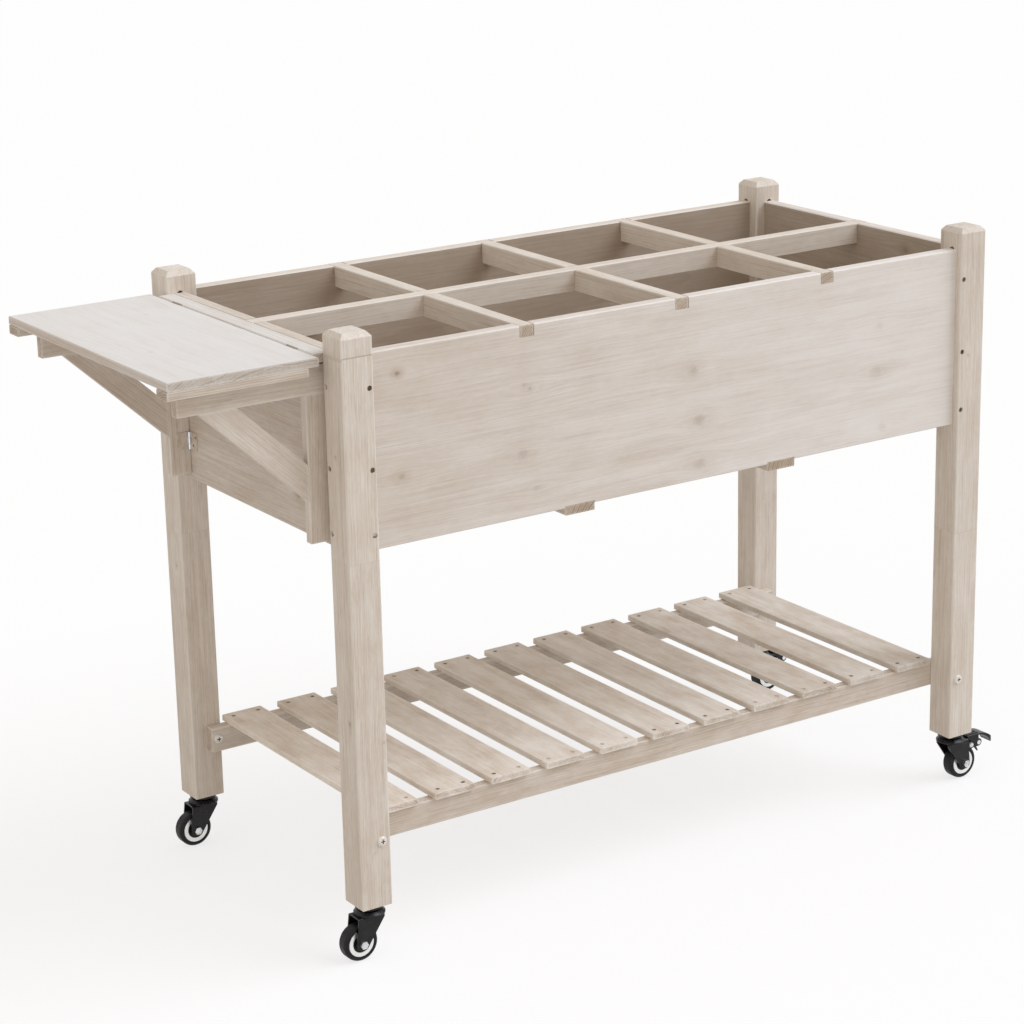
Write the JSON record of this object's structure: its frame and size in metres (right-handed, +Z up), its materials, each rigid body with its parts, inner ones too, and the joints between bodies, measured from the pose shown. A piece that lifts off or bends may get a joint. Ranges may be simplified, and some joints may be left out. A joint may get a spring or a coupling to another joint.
{
  "type": "raised planter",
  "caption": "Raised wooden planter box on legs with swivel casters, rim dividers, a slatted shelf below and a folding side table on swing brackets.",
  "frame": {"origin": "floor level under the middle of the four legs", "axes": "+X along the planter's length, away from the side table; -Y is the front; +Z up"},
  "size_m": [1.3259, 0.5085, 0.837],
  "materials": {
    "whitewashed_fir": "whitewashed, matte",
    "black_steel": "black powder coat",
    "caster_wheel": "black tyre with a light grey ring",
    "zinc_steel": "zinc plated",
    "hinge_steel": "zinc plated"
  },
  "bodies": {
    "frame": {"bed_batten_1": "whitewashed_fir", "bed_batten_2": "whitewashed_fir", "bed_floor_boards": "whitewashed_fir", "caster_stems": "black_steel", "cross_divider_1": "whitewashed_fir", "cross_divider_2": "whitewashed_fir", "cross_divider_3": "whitewashed_fir", "end_panel_left": "whitewashed_fir", "end_panel_right": "whitewashed_fir", "fixed_hinge_leaves": "hinge_steel", "front_panel": "whitewashed_fir", "hinge_pins": "hinge_steel", "leg_front_left": "whitewashed_fir", "leg_front_right": "whitewashed_fir", "leg_rear_left": "whitewashed_fir", "leg_rear_right": "whitewashed_fir", "long_divider": "whitewashed_fir", "rear_panel": "whitewashed_fir", "shelf_bolts": "zinc_steel", "shelf_rail_front": "whitewashed_fir", "shelf_rail_rear": "whitewashed_fir", "shelf_slat_01": "whitewashed_fir", "shelf_slat_02": "whitewashed_fir", "shelf_slat_03": "whitewashed_fir", "shelf_slat_04": "whitewashed_fir", "shelf_slat_05": "whitewashed_fir", "shelf_slat_06": "whitewashed_fir", "shelf_slat_07": "whitewashed_fir", "shelf_slat_08": "whitewashed_fir", "shelf_slat_09": "whitewashed_fir", "shelf_slat_10": "whitewashed_fir", "shelf_slat_11": "whitewashed_fir", "table_hinge_strip": "whitewashed_fir", "wood_screws": "zinc_steel"},
    "leaf": {"table_leaf": "whitewashed_fir", "table_batten_front": "whitewashed_fir", "table_batten_rear": "whitewashed_fir", "leaf_hinge_plates": "hinge_steel"},
    "bracket_front": {"bracket_post_front": "whitewashed_fir", "bracket_arm_front": "whitewashed_fir", "bracket_brace_front": "whitewashed_fir", "bracket_hinge_plates_front": "hinge_steel"},
    "bracket_rear": {"bracket_post_rear": "whitewashed_fir", "bracket_arm_rear": "whitewashed_fir", "bracket_brace_rear": "whitewashed_fir", "bracket_hinge_plates_rear": "hinge_steel"},
    "swivel_front_left": {"caster_fork_front_left": "black_steel", "caster_axle_front_left": "zinc_steel"},
    "wheel_front_left": {"caster_wheel_front_left": "caster_wheel"},
    "swivel_front_right": {"caster_fork_front_right": "black_steel", "caster_axle_front_right": "zinc_steel"},
    "wheel_front_right": {"caster_wheel_front_right": "caster_wheel"},
    "swivel_rear_left": {"caster_fork_rear_left": "black_steel", "caster_axle_rear_left": "zinc_steel"},
    "wheel_rear_left": {"caster_wheel_rear_left": "caster_wheel"},
    "swivel_rear_right": {"caster_fork_rear_right": "black_steel", "caster_axle_rear_right": "zinc_steel"},
    "wheel_rear_right": {"caster_wheel_rear_right": "caster_wheel"},
    "pedal_front_right": {"brake_pedal_front_right": "black_steel"},
    "pedal_rear_right": {"brake_pedal_rear_right": "black_steel"}
  },
  "joints": [
    {"name": "leaf_lift", "type": "hinge", "parent": "frame", "child": "leaf", "pos_m": [-0.539, 0, 0.7955], "axis": [0, 1, 0], "range_deg": [0, 8]},
    {"name": "rear_bracket_fold", "type": "hinge", "parent": "frame", "child": "bracket_rear", "pos_m": [-0.5168, 0.1807, 0.658], "axis": [0, 0, 1], "range_deg": [0, 90]},
    {"name": "front_bracket_fold", "type": "hinge", "parent": "frame", "child": "bracket_front", "pos_m": [-0.5168, -0.1807, 0.658], "axis": [0, 0, -1], "range_deg": [0, 84]},
    {"name": "front_left_swivel", "type": "hinge", "parent": "frame", "child": "swivel_front_left", "pos_m": [-0.5025, -0.23, 0.065], "axis": [0, 0, 1], "continuous": true},
    {"name": "front_left_wheel_spin", "type": "hinge", "parent": "swivel_front_left", "child": "wheel_front_left", "pos_m": [-0.521, -0.23, 0.025], "axis": [0, 1, 0], "continuous": true},
    {"name": "front_right_swivel", "type": "hinge", "parent": "frame", "child": "swivel_front_right", "pos_m": [0.5025, -0.23, 0.065], "axis": [0, 0, 1], "continuous": true},
    {"name": "front_right_wheel_spin", "type": "hinge", "parent": "swivel_front_right", "child": "wheel_front_right", "pos_m": [0.521, -0.23, 0.025], "axis": [0, 1, 0], "continuous": true},
    {"name": "front_right_brake", "type": "hinge", "parent": "swivel_front_right", "child": "pedal_front_right", "pos_m": [0.5325, -0.23, 0.0507], "axis": [0, 1, 0], "range_deg": [0, 12]},
    {"name": "rear_left_swivel", "type": "hinge", "parent": "frame", "child": "swivel_rear_left", "pos_m": [-0.5025, 0.23, 0.065], "axis": [0, 0, 1], "continuous": true},
    {"name": "rear_left_wheel_spin", "type": "hinge", "parent": "swivel_rear_left", "child": "wheel_rear_left", "pos_m": [-0.521, 0.23, 0.025], "axis": [0, 1, 0], "continuous": true},
    {"name": "rear_right_swivel", "type": "hinge", "parent": "frame", "child": "swivel_rear_right", "pos_m": [0.5025, 0.23, 0.065], "axis": [0, 0, 1], "continuous": true},
    {"name": "rear_right_wheel_spin", "type": "hinge", "parent": "swivel_rear_right", "child": "wheel_rear_right", "pos_m": [0.521, 0.23, 0.025], "axis": [0, 1, 0], "continuous": true},
    {"name": "rear_right_brake", "type": "hinge", "parent": "swivel_rear_right", "child": "pedal_rear_right", "pos_m": [0.5325, 0.23, 0.0507], "axis": [0, 1, 0], "range_deg": [0, 12]}
  ]
}
